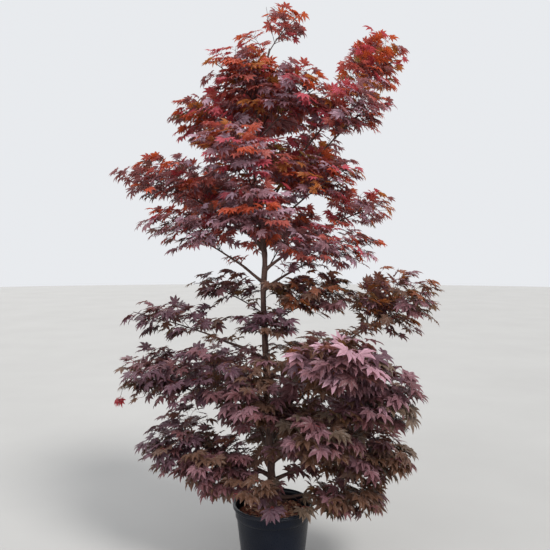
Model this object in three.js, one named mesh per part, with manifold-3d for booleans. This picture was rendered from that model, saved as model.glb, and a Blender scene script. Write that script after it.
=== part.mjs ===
// Potted Japanese maple: a young tree with dark red, deeply lobed leaves in a black nursery pot.
// Millimetres, +Z up. The origin is the middle of the pot's flat underside. The tree is seen in the
// photograph from -Y, with +X to the right.

import * as THREE from 'three';
import { mergeVertices } from 'three/addons/utils/BufferGeometryUtils.js';
import Module from 'manifold-3d';

const wasm = await Module();
wasm.setup();

// Corners closer than this are one corner
const SAME_CORNER = 1e-4;

// Slivers finer than this, left where twigs join, are smoothed away
const FINEST_DETAIL = 0.1;

// Pot
const POT_HEIGHT = 320;
const POT_SIDES = 24;
const RIM_RADIUS = 190;
const RIM_BEAD = 14;
const BEAD_ROUND = 3;
const COLLAR_RADIUS = 178;
const COLLAR_HEIGHT = 50;
const COLLAR_STEP = 5;
const COLLAR_FLARE = 1;
const LIP_FLARE = 2;
const SHOULDER_RADIUS = 172;
const FOOT_RADIUS = 141;
const FOOT_ROUND = 5;
const POT_WALL = 4;
const POT_FLOOR = 8;

// Potting soil, level round the trunk and a little lower at the pot's wall
const SOIL_LEVEL = 272;
const SOIL_FALL = 6;
const SOIL_CROWN_RADIUS = 70;
const SOIL_GAP = 0.5;

// Trunk: its lean at each height, and its radius there
const SEAT_GAP = 0.3;
const TRUNK_FOOT = SOIL_LEVEL + SEAT_GAP;
const TRUNK_SIDES = 9;
const TRUNK_STEPS = 17;
const TRUNK_LEAN = [
  { height: TRUNK_FOOT - 12, right: 0, back: 0, radius: 33 },
  { height: 330, right: -2, back: 1, radius: 20 },
  { height: 560, right: -12, back: 6, radius: 17.5 },
  { height: 800, right: -28, back: 2, radius: 16 },
  { height: 1050, right: -35, back: -8, radius: 14.5 },
  { height: 1300, right: -45, back: -4, radius: 13 },
  { height: 1480, right: -38, back: 6, radius: 12 },
  { height: 1640, right: -60, back: 4, radius: 10 },
  { height: 1850, right: -84, back: -6, radius: 8.5 },
  { height: 2060, right: -78, back: 4, radius: 7 },
  { height: 2270, right: -56, back: 8, radius: 5.5 },
  { height: 2450, right: -14, back: 0, radius: 4 },
];

// Limbs: a bough or a seated twig rises to an elbow, given as shares of the way out and up, and on
// to the far side of its mass
const BOUGH_SIDES = 5;
const BOUGH_STEPS = 4;
const BOUGH_TIP_RADIUS = 3.6;
const BOUGH_BASE_SHARE = 0.62;
const ELBOW_OUT = 0.4;
const ELBOW_UP = 0.6;
const STEM_REACH = 0.66;
const STEM_LIFT = 0.3;
const ENTRY_DEPTH = 0.86;
const LIMB_CLEARANCE = 1.5;
const STEM_SIDES = 4;
const STEM_STEPS = 3;
const STEM_TIP_RADIUS = 2.2;

// How many places along a limb's line and along a stem are tried
const LINE_PLACES = 100;
const STEM_PLACES = 20;

// Leaves: how many a mass holds, how large they are, and how each lies in its mass
const FEWEST_LEAVES = 6;
const GIRTH_OF_FEWEST = 100;
const GIRTH_PER_LEAF = 38;
const LEAF_ATTEMPTS = 24;
const GOLDEN_ANGLE = 137.5;
const ANGLE_PLAY = 30;
const OUTER_DEPTH = 0.8;
const INNER_DEPTH = 0.25;
const LEAF_RADIUS = 155;
const LEAST_SHRINK = 0.72;
const SIZE_PLAY = [0.92, 1.05];
const LEAF_THICKNESS = 5;
const LEAF_DROOP = 0.16;
const STALK_RADIUS = 1.5;
const STALK_BEND = 0.5;
const AIM_STEP = 0.2;
const SHORTEST_TWIG = 25;
const TWIG_LEAN = 0.7;
const TWIG_RANGE = [0.04, 0.99];
const AIM_AWAY = 0.5;
const AIM_OUTWARD = 0.3;
const SAG = [0.5, 1.1];
const FACE_AWAY = 0.6;
const FACE_OUTWARD = [0.2, 0.8];
const SEED_STEP = 7919;
const RED_ABOVE = 1370;

// The space of a mass, as shares of its size from its middle
const CELL_EDGE = 1.16;
const CELL_MARGIN = 0.04;

// A leaf's lobes, as seen from above: bearing from the middle lobe and length as a share of it,
// with the bay that lies behind each lobe
const LOBES = [
  { bearing: 0, length: 1, bay: 27, bayDepth: 0.42 },
  { bearing: 54, length: 0.9, bay: 84, bayDepth: 0.36 },
  { bearing: 112, length: 0.58, bay: 155, bayDepth: 0.05 },
];

// Foliage masses. Bearing 0 is to the right of the photograph and 90 away from it. Reach is how far
// the middle of the mass lies from the trunk, and height how high. Length runs outward, width
// across and rise upward, each from the middle to the edge. Its limb leaves the trunk at the height
// in the column from, as a bough with foliage at its end, or as a twig that is seated on the trunk.
const BOUGH = true;
const SEATED = false;
const COLUMNS = ['name', 'bearing', 'reach', 'height', 'length', 'width', 'rise', 'from', 'bough'];
const MASSES = [
  ['top', 15, 70, 2580, 115, 108, 125, 2435, SEATED],
  ['high_left', 196, 115, 2330, 185, 165, 145, 2180, SEATED],
  ['high_right', 340, 185, 2215, 195, 180, 165, 2010, SEATED],
  ['high_back', 80, 265, 2240, 220, 210, 185, 1960, SEATED],
  ['shoulder_left', 166, 225, 2135, 210, 185, 160, 1890, SEATED],
  ['tip_right', 5, 495, 2385, 168, 160, 175, 1650, BOUGH],
  ['shoulder_right', 346, 430, 2150, 210, 190, 145, 1590, BOUGH],
  ['front_upper', 250, 185, 1950, 215, 240, 140, 1740, SEATED],
  ['back_upper', 48, 345, 1960, 240, 230, 145, 1710, BOUGH],
  ['left_upper', 180, 385, 1845, 265, 200, 125, 1530, BOUGH],
  ['right_upper', 348, 295, 1845, 205, 190, 125, 1560, BOUGH],
  ['back_left', 122, 380, 1800, 245, 235, 155, 1500, BOUGH],
  ['front_middle', 266, 205, 1690, 200, 215, 140, 1500, SEATED],
  ['right_wing', 10, 490, 1715, 180, 165, 100, 1420, BOUGH],
  ['left_middle', 192, 315, 1612, 250, 205, 138, 1360, BOUGH],
  ['back_middle', 66, 320, 1610, 245, 235, 155, 1390, SEATED],
  ['right_middle', 345, 305, 1522, 255, 200, 122, 1330, BOUGH],
  ['left_spray', 168, 190, 1338, 185, 150, 85, 1215, SEATED],
  ['right_spray', 352, 245, 1308, 225, 165, 120, 1150, SEATED],
  ['trunk_spray', 285, 70, 1180, 165, 165, 92, 1060, SEATED],
  ['left_long', 181, 425, 1195, 282, 155, 105, 1000, BOUGH],
  ['right_outer', 350, 600, 1275, 225, 180, 165, 740, BOUGH],
  ['left_big', 183, 518, 925, 222, 205, 155, 660, BOUGH],
  ['left_inner', 206, 300, 925, 205, 200, 175, 700, SEATED],
  ['front_lower', 256, 175, 845, 185, 190, 185, 620, SEATED],
  ['front_right_upper', 312, 455, 1035, 235, 215, 145, 690, BOUGH],
  ['front_right_outer', 333, 542, 865, 205, 200, 168, 575, BOUGH],
  ['front_right_lower', 312, 345, 728, 205, 205, 150, 500, BOUGH],
  ['back_right_lower', 48, 450, 900, 245, 245, 185, 600, BOUGH],
  ['back_left_lower', 124, 450, 865, 245, 245, 185, 560, BOUGH],
  ['left_lower', 179, 430, 612, 212, 205, 174, 440, BOUGH],
  ['left_skirt', 204, 260, 525, 205, 205, 155, 395, SEATED],
  ['front_skirt', 240, 190, 470, 150, 165, 98, 350, SEATED],
  ['right_lower', 352, 450, 575, 235, 215, 165, 420, BOUGH],
  ['right_skirt', 352, 365, 362, 215, 195, 105, 340, BOUGH],
  ['back_skirt', 84, 370, 590, 235, 250, 175, 430, BOUGH],
].map((row) => Object.fromEntries(row.map((value, i) => [COLUMNS[i], value])));

const UP = new THREE.Vector3(0, 0, 1);
const radians = THREE.MathUtils.degToRad;

const BARK = new THREE.MeshStandardMaterial({ color: 0x3d2a22, roughness: 0.85, metalness: 0 });
const FOLIAGE = new THREE.MeshStandardMaterial({ color: 0x5e2b3a, roughness: 0.6, metalness: 0 });
const RED_FOLIAGE = new THREE.MeshStandardMaterial({ color: 0x8f2f2c, roughness: 0.6, metalness: 0 });
const POT_PLASTIC = new THREE.MeshStandardMaterial({ color: 0x23262b, roughness: 0.45, metalness: 0 });
const POTTING_SOIL = new THREE.MeshStandardMaterial({ color: 0x5a3a2a, roughness: 0.95, metalness: 0 });

// Seeded random numbers between two limits.
function dice(seed) {
  let state = seed;
  return (low, high) => {
    state = (state * 1664525 + 1013904223) % 4294967296;
    return low + ((high - low) * state) / 4294967296;
  };
}

// A geometry as a closed solid: positions merged, flat faces on the axis dropped, faces turned out.
function solid(geometry) {
  const bare = geometry.clone();
  bare.deleteAttribute('normal');
  bare.deleteAttribute('uv');
  const merged = mergeVertices(bare, SAME_CORNER);
  const position = merged.attributes.position;
  const corners = [];
  for (let i = 0; i < merged.index.count; i += 3) {
    const [a, b, c] = [0, 1, 2].map((k) => merged.index.getX(i + k));
    if (a !== b && b !== c && c !== a) corners.push(a, b, c);
  }
  const at = (i) => new THREE.Vector3().fromBufferAttribute(position, i);
  let volume = 0;
  for (let i = 0; i < corners.length; i += 3) {
    volume += at(corners[i]).dot(at(corners[i + 1]).cross(at(corners[i + 2])));
  }
  if (volume < 0) corners.reverse();
  return new wasm.Manifold(new wasm.Mesh({
    numProp: 3,
    vertProperties: new Float32Array(position.array),
    triVerts: new Uint32Array(corners),
  }));
}

// The largest body of a solid; what a cut leaves loose is dropped.
function largest(shape) {
  return shape.decompose().reduce((best, body) => (body.volume() > best.volume() ? body : best));
}

function toGeometry(shape) {
  const mesh = shape.simplify(FINEST_DETAIL).getMesh();
  const geometry = new THREE.BufferGeometry();
  geometry.setAttribute('position', new THREE.BufferAttribute(mesh.vertProperties, 3));
  geometry.setIndex(new THREE.BufferAttribute(mesh.triVerts, 1));
  geometry.computeVertexNormals();
  return geometry;
}

// A closed ring profile of [radius, height] pairs turned about the vertical axis.
function turned(profile, sides) {
  const points = profile.map(([radius, height]) => new THREE.Vector2(radius, height));
  return solid(new THREE.LatheGeometry(points, sides).rotateX(Math.PI / 2));
}

// A tapering limb: a straight extrusion's rings laid along a curve, each with its own radius.
function limb(curve, radiusAt, sides, steps) {
  const corners = Array.from({ length: sides }, (_, i) => (2 * Math.PI * i) / sides);
  const onCircle = (angle) => new THREE.Vector2(Math.cos(angle), Math.sin(angle));
  const section = new THREE.Shape(corners.map(onCircle));
  const geometry = new THREE.ExtrudeGeometry(section, { depth: 1, steps, bevelEnabled: false });
  const frames = curve.computeFrenetFrames(steps, false);
  const position = geometry.attributes.position;
  const point = new THREE.Vector3();
  for (let i = 0; i < position.count; i += 1) {
    const step = Math.round(position.getZ(i) * steps);
    const radius = radiusAt(step / steps);
    point.copy(curve.getPointAt(step / steps));
    point.addScaledVector(frames.normals[step], position.getX(i) * radius);
    point.addScaledVector(frames.binormals[step], position.getY(i) * radius);
    position.setXYZ(i, point.x, point.y, point.z);
  }
  return solid(geometry);
}

// The stretch of a curve between two shares of its length.
class Stretch extends THREE.Curve {
  constructor(whole, from, to) {
    super();
    Object.assign(this, { whole, from, to });
  }

  getPoint(t, target = new THREE.Vector3()) {
    return target.copy(this.whole.getPointAt(this.from + t * (this.to - this.from)));
  }
}

// The trunk's centre line and radius, smooth through its lean at each height.
class TrunkLine extends THREE.Curve {
  getPoint(t, target = new THREE.Vector3()) {
    const height = THREE.MathUtils.lerp(TRUNK_LEAN[0].height, TRUNK_LEAN.at(-1).height, t);
    return target.set(leanAt(height, 'right'), leanAt(height, 'back'), height);
  }
}

function leanAt(height, value) {
  let i = TRUNK_LEAN.findIndex((row) => row.height >= height);
  i = Math.max(1, i < 0 ? TRUNK_LEAN.length - 1 : i);
  const row = (k) => TRUNK_LEAN[THREE.MathUtils.clamp(k, 0, TRUNK_LEAN.length - 1)];
  const [before, low, high, after] = [i - 2, i - 1, i, i + 1].map(row);
  const span = high.height - low.height;
  const slope = (a, b) => (b.height > a.height ? (b[value] - a[value]) / (b.height - a.height) : 0);
  const t = (height - low.height) / span;
  const start = slope(before, high) * span;
  const end = slope(low, after) * span;
  const t2 = t * t;
  const t3 = t2 * t;
  return (2 * t3 - 3 * t2 + 1) * low[value] + (t3 - 2 * t2 + t) * start
    + (3 * t2 - 2 * t3) * high[value] + (t3 - t2) * end;
}

const trunkLine = new TrunkLine();
const trunkAt = (height) => new THREE.Vector3(leanAt(height, 'right'), leanAt(height, 'back'), height);

// The trunk, or the trunk grown on all sides to clear its neighbours.
function trunkSolid(growth) {
  const radiusAt = (share) => leanAt(trunkLine.getPointAt(share).z, 'radius') + growth;
  return limb(trunkLine, radiusAt, TRUNK_SIDES, TRUNK_STEPS);
}

// What the trunk's foot is cut flat with.
function belowTheSoil() {
  const block = new THREE.BoxGeometry(POT_HEIGHT, POT_HEIGHT, POT_HEIGHT);
  return solid(block.translate(0, 0, TRUNK_FOOT - POT_HEIGHT / 2));
}

// Each mass gets its middle, its outward direction and the line that its bough and stem follow:
// up and out from the trunk, through the mass, to its far tip.
for (const mass of MASSES) {
  const outward = new THREE.Vector3(Math.cos(radians(mass.bearing)), Math.sin(radians(mass.bearing)), 0);
  mass.outward = outward;
  mass.across = new THREE.Vector3().crossVectors(UP, outward);
  const axis = trunkAt(Math.min(mass.height, TRUNK_LEAN.at(-1).height));
  mass.middle = axis.setZ(mass.height).addScaledVector(outward, mass.reach);
  const start = trunkAt(mass.from);
  const end = mass.middle.clone().addScaledVector(outward, STEM_REACH * mass.length);
  end.z += STEM_LIFT * mass.rise;
  const elbow = start.clone().lerp(end, ELBOW_OUT);
  elbow.z = THREE.MathUtils.lerp(start.z, end.z, ELBOW_UP);
  mass.line = new THREE.QuadraticBezierCurve3(start, elbow, end);
}

// How deep a point lies in a mass: 0 at its middle, 1 at its edge.
function depthIn(mass, point) {
  const offset = point.clone().sub(mass.middle);
  return Math.hypot(
    offset.dot(mass.outward) / mass.length,
    offset.dot(mass.across) / mass.width,
    offset.z / mass.rise,
  );
}

// A mass owns the points that lie deeper in it than in any other.
function owns(mass, point) {
  const depth = depthIn(mass, point);
  if (depth > CELL_EDGE) return false;
  return MASSES.every((other) => other === mass || depthIn(other, point) > depth + CELL_MARGIN);
}

// The share of its line at which a bough enters its mass.
function entryOf(mass) {
  const shares = Array.from({ length: LINE_PLACES }, (_, i) => i / LINE_PLACES);
  return shares.find((share) => {
    const point = mass.line.getPointAt(share);
    return depthIn(mass, point) < ENTRY_DEPTH && owns(mass, point);
  });
}

// Half of a blade's outline from the middle lobe round to the stalk, and its mirror image before it:
// pairs of bearing and distance from the heart.
function bladeOutline() {
  const half = LOBES.flatMap((lobe) => [[lobe.bearing, lobe.length], [lobe.bay, lobe.bayDepth]]);
  const mirrored = half.slice(1).reverse().map(([bearing, share]) => [-bearing, share]);
  return [...mirrored, ...half];
}

// A leaf on its stalk, as one solid: the blade's outline fans out from a heart above and a heart
// below, and the stalk's four corners run from the back of the blade to its root in the stem.
function leaf(root, heart, aim, face, size) {
  const radius = LEAF_RADIUS * size;
  const outline = bladeOutline().map(([bearing, share]) => new THREE.Vector3(
    share * radius * Math.cos(radians(bearing)),
    share * radius * Math.sin(radians(bearing)),
    -LEAF_DROOP * share * share * radius,
  ));
  const hearts = [1, -1].map((side) => new THREE.Vector3(0, 0, (side * LEAF_THICKNESS) / 2));
  const x = aim.clone().normalize();
  const y = new THREE.Vector3().crossVectors(face, x).normalize();
  const z = new THREE.Vector3().crossVectors(x, y);
  const place = new THREE.Matrix4().makeBasis(x, y, z).setPosition(heart);
  const blade = [...outline, ...hearts].map((point) => point.applyMatrix4(place));
  const along = heart.clone().sub(root).normalize();
  const left = y.clone().addScaledVector(along, -y.dot(along)).normalize();
  const up = new THREE.Vector3().crossVectors(along, left);
  const stalk = [[left, 1], [up, 1], [left, -1], [up, -1]].map(
    ([axis, side]) => root.clone().addScaledVector(axis, side * STALK_RADIUS),
  );
  const [first, last, top, bottom] = [0, outline.length - 1, outline.length, outline.length + 1];
  const [leftRoot, topRoot, rightRoot, bottomRoot] = [2, 3, 4, 5].map((i) => last + 1 + i);
  const index = [];
  for (let i = first; i < last; i += 1) index.push(top, i, i + 1, bottom, i + 1, i);
  const quad = (a, b, c, d) => index.push(a, b, c, a, c, d);
  quad(top, last, leftRoot, topRoot);
  quad(last, bottom, bottomRoot, leftRoot);
  quad(bottom, first, rightRoot, bottomRoot);
  quad(first, top, topRoot, rightRoot);
  quad(topRoot, leftRoot, bottomRoot, rightRoot);
  const geometry = new THREE.BufferGeometry().setFromPoints([...blade, ...stalk]);
  geometry.setIndex(index);
  return { tips: blade.slice(0, -2), solid: solid(geometry) };
}

const clash = (shape, obstacle) => !shape.intersect(obstacle).isEmpty();

// Where a twig that leads to a point leaves its stem: a little behind the stem's nearest point.
function twigRoot(mass, point) {
  const shares = Array.from({ length: STEM_PLACES + 1 }, (_, i) => i / STEM_PLACES);
  const distance = (share) => mass.stem.getPointAt(share).distanceTo(point);
  const nearest = shares.reduce((best, share) => (distance(share) < distance(best) ? share : best));
  const back = (TWIG_LEAN * distance(nearest)) / mass.stem.getLength();
  return mass.stem.getPointAt(THREE.MathUtils.clamp(nearest - back, ...TWIG_RANGE));
}

// The leaf that grows to one place in a mass. It points away from its twig's root and out of the
// crown, sags under its own weight, and turns its upper face to the light outside. There is none
// where its twig would be too short, or where it would leave the mass.
function leafAt(mass, place, size, random) {
  const heart = mass.middle.clone();
  heart.addScaledVector(mass.outward, place.x * mass.length);
  heart.addScaledVector(mass.across, place.y * mass.width);
  heart.z += place.z * mass.rise;
  const root = twigRoot(mass, heart);
  const along = heart.clone().sub(root);
  if (along.length() < SHORTEST_TWIG || !owns(mass, heart)) return null;
  along.normalize();
  const away = heart.clone().sub(mass.middle).setZ(0).normalize();
  const aim = along.clone().addScaledVector(away, AIM_AWAY).addScaledVector(mass.outward, AIM_OUTWARD);
  aim.z -= random(...SAG);
  aim.normalize();
  while (aim.dot(along) < STALK_BEND) aim.addScaledVector(along, AIM_STEP).normalize();
  const face = UP.clone().addScaledVector(away, FACE_AWAY);
  face.addScaledVector(mass.outward, random(...FACE_OUTWARD));
  const grown = leaf(root, heart, aim, face, size);
  return grown.tips.every((tip) => owns(mass, tip)) ? grown.solid : null;
}

// One mass: leaves spread evenly round its middle, each on a twig that branches from the stem. A
// leaf that would leave the mass, or touch a limb or another leaf, tries places further in, and is
// skipped when none is free.
function growMass(mass, stemSolid, obstacle) {
  const random = dice(mass.seed);
  const leaves = [];
  const girth = Math.cbrt(mass.length * mass.width * mass.rise);
  const fullSize = Math.min(1, girth / LEAF_RADIUS);
  const wanted = Math.round(FEWEST_LEAVES + Math.max(0, girth - GIRTH_OF_FEWEST) / GIRTH_PER_LEAF);
  const turn = random(0, 360);
  for (let k = 0; k < wanted; k += 1) {
    const height = 1 - (2 * k + 1) / wanted;
    const level = Math.sqrt(1 - height * height);
    for (let attempt = 0; attempt < LEAF_ATTEMPTS; attempt += 1) {
      const effort = attempt / (LEAF_ATTEMPTS - 1);
      const size = fullSize * THREE.MathUtils.lerp(1, LEAST_SHRINK, effort) * random(...SIZE_PLAY);
      const angle = radians(turn + GOLDEN_ANGLE * k + random(-ANGLE_PLAY, ANGLE_PLAY));
      const place = new THREE.Vector3(level * Math.cos(angle), level * Math.sin(angle), height);
      place.multiplyScalar(THREE.MathUtils.lerp(OUTER_DEPTH, INNER_DEPTH, effort));
      const grown = leafAt(mass, place, size, random);
      if (!grown || [obstacle, ...leaves].some((other) => clash(grown, other))) continue;
      leaves.push(grown);
      break;
    }
  }
  return largest(wasm.Manifold.union([stemSolid, ...leaves]));
}

const plant = new THREE.Group();

function add(name, shape, material) {
  const mesh = new THREE.Mesh(toGeometry(shape), material);
  mesh.name = name;
  plant.add(mesh);
}

function makePot() {
  const rimFoot = POT_HEIGHT - RIM_BEAD;
  const collarFoot = rimFoot - COLLAR_HEIGHT;
  const outside = [
    [0, 0],
    [FOOT_RADIUS - FOOT_ROUND, 0],
    [FOOT_RADIUS, FOOT_ROUND],
    [SHOULDER_RADIUS, collarFoot],
    [COLLAR_RADIUS, collarFoot + COLLAR_STEP],
    [COLLAR_RADIUS + COLLAR_FLARE, rimFoot],
    [RIM_RADIUS - BEAD_ROUND, rimFoot],
    [RIM_RADIUS, rimFoot + BEAD_ROUND],
    [RIM_RADIUS, POT_HEIGHT - BEAD_ROUND],
    [RIM_RADIUS - BEAD_ROUND, POT_HEIGHT],
  ];
  const inside = [
    [COLLAR_RADIUS - POT_WALL + LIP_FLARE, POT_HEIGHT],
    [COLLAR_RADIUS - POT_WALL, POT_HEIGHT - BEAD_ROUND],
    [COLLAR_RADIUS - POT_WALL, collarFoot + COLLAR_STEP],
    [SHOULDER_RADIUS - POT_WALL, collarFoot],
    [FOOT_RADIUS - POT_WALL, POT_FLOOR],
    [0, POT_FLOOR],
  ];
  add('pot', turned([...outside, ...inside], POT_SIDES), POT_PLASTIC);
}

function makeSoil() {
  const collarFoot = POT_HEIGHT - RIM_BEAD - COLLAR_HEIGHT;
  const profile = [
    [0, POT_FLOOR + SOIL_GAP],
    [FOOT_RADIUS - POT_WALL - SOIL_GAP, POT_FLOOR + SOIL_GAP],
    [SHOULDER_RADIUS - POT_WALL - SOIL_GAP, collarFoot],
    [COLLAR_RADIUS - POT_WALL - SOIL_GAP, collarFoot + COLLAR_STEP],
    [COLLAR_RADIUS - POT_WALL - SOIL_GAP, SOIL_LEVEL - SOIL_FALL],
    [SOIL_CROWN_RADIUS, SOIL_LEVEL],
    [0, SOIL_LEVEL],
  ];
  add('potting_soil', turned(profile, POT_SIDES), POTTING_SOIL);
}

// A mass's stem, from its bough's tip or from the trunk, and the bough where it has one.
function makeLimbs(mass, cutter, obstacles) {
  const base = BOUGH_BASE_SHARE * leanAt(mass.from, 'radius');
  const tip = Math.min(base, BOUGH_TIP_RADIUS);
  const entry = mass.bough ? entryOf(mass) : 0;
  const gap = mass.bough ? SEAT_GAP / mass.line.getLength() : 0;
  mass.stem = new Stretch(mass.line, entry + gap, 1);
  const stemRadius = (share) => THREE.MathUtils.lerp(tip, STEM_TIP_RADIUS, share);
  const stem = limb(mass.stem, stemRadius, STEM_SIDES, STEM_STEPS);
  if (!mass.bough) return largest(stem.subtract(cutter));
  const line = new Stretch(mass.line, 0, entry);
  const radius = (growth) => (share) => THREE.MathUtils.lerp(base, tip, share) + growth;
  const bough = limb(line, radius(0), BOUGH_SIDES, BOUGH_STEPS);
  add(`bough_${mass.name}`, largest(bough.subtract(cutter)), BARK);
  obstacles.push(limb(line, radius(LIMB_CLEARANCE), BOUGH_SIDES, BOUGH_STEPS));
  return stem;
}

function makeTree() {
  const cutter = trunkSolid(SEAT_GAP / Math.cos(Math.PI / TRUNK_SIDES));
  const obstacles = [trunkSolid(LIMB_CLEARANCE)];
  add('trunk', trunkSolid(0).subtract(belowTheSoil()), BARK);
  const stems = MASSES.map((mass) => makeLimbs(mass, cutter, obstacles));
  MASSES.forEach((mass, order) => {
    mass.seed = SEED_STEP * (order + 1);
    const others = stems.filter((_, i) => i !== order);
    const obstacle = wasm.Manifold.union([...obstacles, ...others]);
    const material = mass.height > RED_ABOVE ? RED_FOLIAGE : FOLIAGE;
    add(`foliage_${mass.name}`, growMass(mass, stems[order], obstacle), material);
  });
}

makePot();
makeSoil();
makeTree();

export default plant;
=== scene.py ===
import math
from collections import defaultdict

import bpy
import numpy as np
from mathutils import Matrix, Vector, noise


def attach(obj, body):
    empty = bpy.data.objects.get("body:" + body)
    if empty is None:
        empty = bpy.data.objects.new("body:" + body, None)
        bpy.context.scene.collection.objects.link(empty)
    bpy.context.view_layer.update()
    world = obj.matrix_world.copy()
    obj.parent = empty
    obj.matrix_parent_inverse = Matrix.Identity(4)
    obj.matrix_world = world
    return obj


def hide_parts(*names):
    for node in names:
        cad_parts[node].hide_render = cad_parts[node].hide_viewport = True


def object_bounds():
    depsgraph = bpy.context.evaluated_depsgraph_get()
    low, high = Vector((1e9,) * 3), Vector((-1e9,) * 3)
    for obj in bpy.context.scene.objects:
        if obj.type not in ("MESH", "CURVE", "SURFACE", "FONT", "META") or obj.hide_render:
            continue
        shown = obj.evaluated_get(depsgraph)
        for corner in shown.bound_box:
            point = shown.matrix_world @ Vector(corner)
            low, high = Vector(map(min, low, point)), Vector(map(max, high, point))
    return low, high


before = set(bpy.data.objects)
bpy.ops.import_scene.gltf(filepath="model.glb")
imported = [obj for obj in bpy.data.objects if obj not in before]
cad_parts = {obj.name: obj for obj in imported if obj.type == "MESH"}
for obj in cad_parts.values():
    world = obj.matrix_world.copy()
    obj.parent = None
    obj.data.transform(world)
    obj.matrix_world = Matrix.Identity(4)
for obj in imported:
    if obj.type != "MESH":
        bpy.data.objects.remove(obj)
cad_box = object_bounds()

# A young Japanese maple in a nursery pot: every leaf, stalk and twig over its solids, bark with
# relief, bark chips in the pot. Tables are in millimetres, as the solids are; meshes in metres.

MM = 0.001
UP = np.array([0.0, 0.0, 1.0])

# The trunk's lean at each height: height, right, back and radius there
TRUNK_LEAN = [
    (260.3, 0, 0, 33),
    (330, -2, 1, 20),
    (560, -12, 6, 17.5),
    (800, -28, 2, 16),
    (1050, -35, -8, 14.5),
    (1300, -45, -4, 13),
    (1480, -38, 6, 12),
    (1640, -60, 4, 10),
    (1850, -84, -6, 8.5),
    (2060, -78, 4, 7),
    (2270, -56, 8, 5.5),
    (2450, -14, 0, 4),
]
HEIGHT, RIGHT, BACK, RADIUS = range(4)
TRUNK_TOP = 2450
BARK_FOOT = 268

# Foliage masses: name, bearing, reach from the trunk, height, length, width and rise from the
# middle to the edge, the height where its limb leaves the trunk, whether that limb is a bough,
# and the mix of leaf tints; those above RED_ABOVE make up the upper, red crown
BOUGH, SEATED = True, False
MASS_TABLE = [
    ("top", 15, 70, 2580, 115, 108, 125, 2435, SEATED, "scarlet_top"),
    ("high_left", 196, 115, 2330, 185, 165, 145, 2180, SEATED, "scarlet_top"),
    ("high_right", 340, 185, 2215, 195, 180, 165, 2010, SEATED, "red_upper"),
    ("high_back", 80, 265, 2240, 220, 210, 185, 1960, SEATED, "red_upper"),
    ("shoulder_left", 166, 225, 2135, 210, 185, 160, 1890, SEATED, "red_upper"),
    ("tip_right", 5, 495, 2385, 168, 160, 175, 1650, BOUGH, "scarlet_top"),
    ("shoulder_right", 346, 430, 2150, 210, 190, 145, 1590, BOUGH, "red_upper"),
    ("front_upper", 250, 185, 1950, 215, 240, 140, 1740, SEATED, "red_upper"),
    ("back_upper", 48, 345, 1960, 240, 230, 145, 1710, BOUGH, "red_upper"),
    ("left_upper", 180, 385, 1845, 265, 200, 125, 1530, BOUGH, "smoky_red"),
    ("right_upper", 348, 295, 1845, 205, 190, 125, 1560, BOUGH, "red_upper"),
    ("back_left", 122, 380, 1800, 245, 235, 155, 1500, BOUGH, "smoky_red"),
    ("front_middle", 266, 205, 1690, 200, 215, 140, 1500, SEATED, "smoky_red"),
    ("right_wing", 10, 490, 1715, 180, 165, 100, 1420, BOUGH, "red_upper"),
    ("left_middle", 192, 315, 1612, 250, 205, 138, 1360, BOUGH, "smoky_red"),
    ("back_middle", 66, 320, 1610, 245, 235, 155, 1390, SEATED, "smoky_red"),
    ("right_middle", 345, 305, 1522, 255, 200, 122, 1330, BOUGH, "smoky_red"),
    ("left_spray", 168, 190, 1338, 185, 150, 85, 1215, SEATED, "dusky"),
    ("right_spray", 352, 245, 1308, 225, 165, 120, 1150, SEATED, "rusty_plum"),
    ("trunk_spray", 285, 70, 1180, 165, 165, 92, 1060, SEATED, "dusky"),
    ("left_long", 181, 425, 1195, 282, 155, 105, 1000, BOUGH, "dusky"),
    ("right_outer", 350, 600, 1275, 225, 180, 165, 740, BOUGH, "rusty_plum"),
    ("left_big", 183, 518, 925, 222, 205, 155, 660, BOUGH, "dusky"),
    ("left_inner", 206, 300, 925, 205, 200, 175, 700, SEATED, "dusky"),
    ("front_lower", 256, 175, 845, 185, 190, 185, 620, SEATED, "shaded_plum"),
    ("front_right_upper", 312, 455, 1035, 235, 215, 145, 690, BOUGH, "sunlit_mauve"),
    ("front_right_outer", 333, 542, 865, 205, 200, 168, 575, BOUGH, "half_lit_mauve"),
    ("front_right_lower", 312, 345, 728, 205, 205, 150, 500, BOUGH, "skirt_olive"),
    ("back_right_lower", 48, 450, 900, 245, 245, 185, 600, BOUGH, "shaded_plum"),
    ("back_left_lower", 124, 450, 865, 245, 245, 185, 560, BOUGH, "dusky"),
    ("left_lower", 179, 430, 612, 212, 205, 174, 440, BOUGH, "dusky"),
    ("left_skirt", 204, 260, 525, 205, 205, 155, 395, SEATED, "shaded_plum"),
    ("front_skirt", 240, 190, 470, 150, 165, 98, 350, SEATED, "shaded_plum"),
    ("right_lower", 352, 450, 575, 235, 215, 165, 420, BOUGH, "skirt_olive"),
    ("right_skirt", 352, 365, 362, 215, 195, 105, 340, BOUGH, "skirt_olive"),
    ("back_skirt", 84, 370, 590, 235, 250, 175, 430, BOUGH, "shaded_plum"),
]
RED_ABOVE = 1370

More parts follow.
